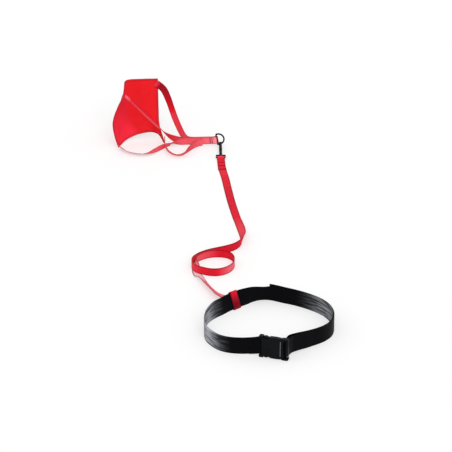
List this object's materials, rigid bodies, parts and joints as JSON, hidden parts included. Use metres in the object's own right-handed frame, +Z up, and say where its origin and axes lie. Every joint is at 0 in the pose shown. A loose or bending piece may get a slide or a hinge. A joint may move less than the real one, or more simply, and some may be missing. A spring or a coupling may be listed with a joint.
{
  "type": "swim parachute",
  "caption": "Swim drag chute: a black waist belt with a side-release buckle, a red webbing leash with a snap hook and a cloth sheet on corner straps.",
  "frame": {"origin": "on the floor, under the middle of the laid-out part", "axes": "+Y from the belt towards the chute, +X to the right, +Z up"},
  "size_m": [0.668, 1.5881, 0.1961],
  "materials": {
    "red_webbing": "woven polyester webbing",
    "red_nylon": "coated nylon cloth, slightly shiny",
    "red_thread": "stitching",
    "black_webbing": "woven nylon webbing",
    "black_thread": "stitching",
    "black_plastic": "moulded acetal, satin",
    "steel": "plain pin"
  },
  "bodies": {
    "belt": {"belt_strap": "black_webbing", "belt_tail": "black_webbing", "belt_hem_tack_1": "black_thread", "belt_hem_tack_2": "black_thread", "buckle_socket": "black_plastic"},
    "plug": {"buckle_plug": "black_plastic", "belt_stretch_at_plug": "black_webbing"},
    "arm_upper": {"buckle_arm_upper": "black_plastic"},
    "arm_lower": {"buckle_arm_lower": "black_plastic"},
    "leash": {"leash_run": "red_webbing", "leash_coil": "red_webbing", "leash_tail": "red_webbing", "leash_hook_fold": "red_webbing", "leash_fold_tack_1": "red_thread", "leash_fold_tack_2": "red_thread", "leash_fold_tack_3": "red_thread", "leash_belt_loop": "red_webbing", "leash_belt_tack": "red_thread"},
    "eye": {"swivel_eye": "black_plastic"},
    "hook": {"snap_hook": "black_plastic", "swivel_pin": "steel", "gate_pin": "steel"},
    "gate": {"hook_gate": "black_plastic"},
    "ring": {"d_ring": "black_plastic"},
    "chute": {"chute_tab": "red_webbing", "tab_tack_1": "red_thread", "tab_tack_2": "red_thread", "chute_sheet": "red_nylon", "strap_top_back": "red_webbing", "strap_top_front": "red_webbing", "strap_bottom_front": "red_webbing", "strap_bottom_back": "red_webbing"}
  },
  "joints": [
    {"name": "buckle_release", "type": "slide", "parent": "belt", "child": "plug", "axis": [0.9455, -0.3256, 0], "range_m": [0, 0.048], "deforming": ["belt_stretch_at_plug", "buckle_arm_upper", "buckle_arm_lower"]},
    {"name": "arm_upper_flex", "type": "hinge", "parent": "plug", "child": "arm_upper", "pos_m": [0.17855, -0.78002, 0.054], "axis": [-0.3256, -0.9455, 0], "range_deg": [0, 9], "stiffness_Nm_per_rad": 0.4},
    {"name": "arm_lower_flex", "type": "hinge", "parent": "plug", "child": "arm_lower", "pos_m": [0.17855, -0.78002, 0.012], "axis": [0.3256, 0.9455, 0], "range_deg": [0, 9], "stiffness_Nm_per_rad": 0.4},
    {"name": "leash_slide", "type": "slide", "parent": "belt", "child": "leash", "axis": [0.7547, 0.6561, 0], "range_m": [-0.01, 0.01]},
    {"name": "eye_tilt", "type": "hinge", "parent": "leash", "child": "eye", "pos_m": [0.01481, 0.59073, 0.00509], "axis": [0.9999, 0.014, 0], "range_deg": [0, 60]},
    {"name": "hook_swivel", "type": "hinge", "parent": "eye", "child": "hook", "pos_m": [0.01461, 0.60531, 0.00581], "axis": [-0.0139, 0.9987, 0.0497], "continuous": true},
    {"name": "gate_swing", "type": "hinge", "parent": "hook", "child": "gate", "pos_m": [0.01396, 0.65137, 0.01381], "axis": [-0.9999, -0.014, 0], "range_deg": [0, 18], "stiffness_Nm_per_rad": 0.05, "springref_deg": -17.19},
    {"name": "ring_tilt", "type": "hinge", "parent": "hook", "child": "ring", "pos_m": [0.01345, 0.6886, 0.00996], "axis": [0.9272, 0, 0.3746], "range_deg": [-25, 25]},
    {"name": "chute_swing", "type": "hinge", "parent": "ring", "child": "chute", "pos_m": [0.0019, 0.6886, 0.026], "axis": [-0.1736, 0, 0.9848], "range_deg": [-40, 40]}
  ],
  "couplings": [
    {"joint": "arm_lower_flex", "follows": "arm_upper_flex", "ratio": 1}
  ]
}
